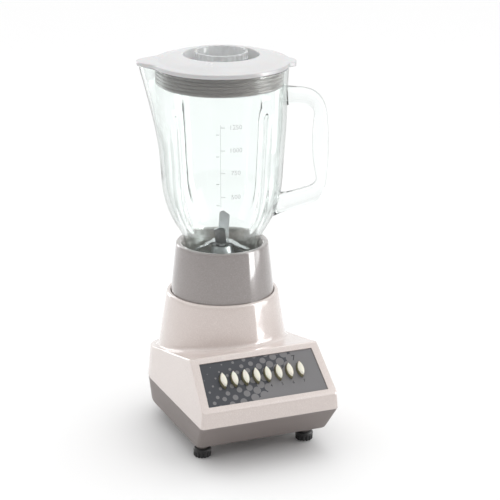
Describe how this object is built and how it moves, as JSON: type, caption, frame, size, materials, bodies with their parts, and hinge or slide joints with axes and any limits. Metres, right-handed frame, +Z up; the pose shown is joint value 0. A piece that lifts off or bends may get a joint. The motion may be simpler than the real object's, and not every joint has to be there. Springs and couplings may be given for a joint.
{
  "type": "countertop blender",
  "caption": "Countertop blender: pressed-glass jar with handle, spout, lid and filler cap on a screw-on jar base, on a motor base with a slanted push-button panel.",
  "frame": {"origin": "at the level of the table that the feet stand on, in the middle of the outline seen from above", "axes": "+Z up along the motor axis, -Y towards the front with the control panel, +X to the right"},
  "size_m": [0.1796, 0.208, 0.3861],
  "materials": {
    "ivory_gloss": "pearl, glossy",
    "grey_gloss": "warm grey, glossy",
    "grey_satin": "warm grey, satin",
    "lid_clear": "milky, translucent",
    "cap_clear": "clear moulding",
    "seal_grey": "soft, ribbed",
    "jar_glass": "pressed glass",
    "black_rubber": "matte",
    "black_plastic": "moulded",
    "panel_print": "printed sheet, satin",
    "button_cream": "cream, glossy",
    "blade_steel": "brushed stainless",
    "zinc_steel": "zinc-plated",
    "lamination_steel": "stacked sheet",
    "bronze": "sintered bronze",
    "brass_contact": "drawn brass",
    "copper_wire": "enamelled copper",
    "carbon": "pressed carbon",
    "cast_aluminium": "die cast",
    "block_white": "moulded"
  },
  "bodies": {
    "base": {"upper_housing": "ivory_gloss", "control_panel": "panel_print", "switch_bank": "black_plastic", "switch_terminals": "brass_contact", "switch_screws": "zinc_steel", "button_springs": "zinc_steel", "stator_core": "lamination_steel", "field_coils": "copper_wire", "upper_bracket": "zinc_steel", "lower_bracket": "zinc_steel", "upper_bearing": "bronze", "lower_bearing": "bronze", "brush_holders": "brass_contact", "carbon_brushes": "carbon", "brush_springs": "zinc_steel", "motor_grommets": "black_rubber", "motor_screws": "zinc_steel", "bottom_tray": "grey_satin", "cord_gland": "black_rubber", "terminal_block": "block_white", "housing_screws": "zinc_steel", "foot_front_left": "black_rubber", "foot_front_right": "black_rubber", "foot_rear_left": "black_rubber", "foot_rear_right": "black_rubber", "foot_screws": "zinc_steel"},
    "rotor": {"motor_shaft": "zinc_steel", "rotor_core": "lamination_steel", "rotor_windings": "copper_wire", "commutator": "copper_wire", "cooling_fan": "black_plastic", "drive_coupling": "cast_aluminium"},
    "jar": {"glass_jar": "jar_glass", "jar_base": "grey_gloss", "jar_gasket": "black_rubber", "blade_carrier": "cast_aluminium", "blade_bushing": "bronze", "shaft_seal": "black_rubber"},
    "blades": {"blade_shaft": "blade_steel", "upper_blade": "blade_steel", "lower_blade": "blade_steel", "blade_washer": "blade_steel", "blade_nut": "blade_steel", "driven_coupling": "black_plastic"},
    "lid_unit": {"lid": "lid_clear", "lid_seal": "seal_grey"},
    "cap": {"filler_cap": "cap_clear"},
    "latch": {"latch_bar": "zinc_steel"},
    "key_1": {"button_1": "button_cream"},
    "key_2": {"button_2": "button_cream"},
    "key_3": {"button_3": "button_cream"},
    "key_4": {"button_4": "button_cream"},
    "key_5": {"button_5": "button_cream"},
    "key_6": {"button_6": "button_cream"},
    "key_7": {"button_7": "button_cream"},
    "key_8": {"button_8": "button_cream"}
  },
  "joints": [
    {"name": "motor_spin", "type": "hinge", "parent": "base", "child": "rotor", "pos_m": [-0.01128, 0.02355, 0.08], "axis": [0, 0, 1], "continuous": true},
    {"name": "jar_lift", "type": "slide", "parent": "base", "child": "jar", "axis": [0, 0, 1], "range_m": [0, 0.08]},
    {"name": "blade_spin", "type": "hinge", "parent": "jar", "child": "blades", "pos_m": [-0.01128, 0.02355, 0.19], "axis": [0, 0, 1], "continuous": true},
    {"name": "lid_lift", "type": "slide", "parent": "jar", "child": "lid_unit", "axis": [0, 0, 1], "range_m": [0, 0.06]},
    {"name": "cap_lift", "type": "slide", "parent": "lid_unit", "child": "cap", "axis": [0, 0, 1], "range_m": [0, 0.04]},
    {"name": "latch_slide", "type": "slide", "parent": "base", "child": "latch", "axis": [-1, 0, 0], "range_m": [0, 0.0015], "stiffness_N_per_m": 200},
    {"name": "press_1", "type": "slide", "parent": "base", "child": "key_1", "axis": [0, 0.6782, -0.7349], "range_m": [0, 0.0035], "stiffness_N_per_m": 250, "deforming": ["button_springs"]},
    {"name": "press_2", "type": "slide", "parent": "base", "child": "key_2", "axis": [0, 0.6782, -0.7349], "range_m": [0, 0.0035], "stiffness_N_per_m": 250},
    {"name": "press_3", "type": "slide", "parent": "base", "child": "key_3", "axis": [0, 0.6782, -0.7349], "range_m": [0, 0.0035], "stiffness_N_per_m": 250},
    {"name": "press_4", "type": "slide", "parent": "base", "child": "key_4", "axis": [0, 0.6782, -0.7349], "range_m": [0, 0.0035], "stiffness_N_per_m": 250},
    {"name": "press_5", "type": "slide", "parent": "base", "child": "key_5", "axis": [0, 0.6782, -0.7349], "range_m": [0, 0.0035], "stiffness_N_per_m": 250},
    {"name": "press_6", "type": "slide", "parent": "base", "child": "key_6", "axis": [0, 0.6782, -0.7349], "range_m": [0, 0.0035], "stiffness_N_per_m": 250},
    {"name": "press_7", "type": "slide", "parent": "base", "child": "key_7", "axis": [0, 0.6782, -0.7349], "range_m": [0, 0.0035], "stiffness_N_per_m": 250},
    {"name": "press_8", "type": "slide", "parent": "base", "child": "key_8", "axis": [0, 0.6782, -0.7349], "range_m": [0, 0.0035], "stiffness_N_per_m": 250}
  ],
  "couplings": [
    {"joint": "blade_spin", "follows": "motor_spin", "ratio": 1}
  ]
}
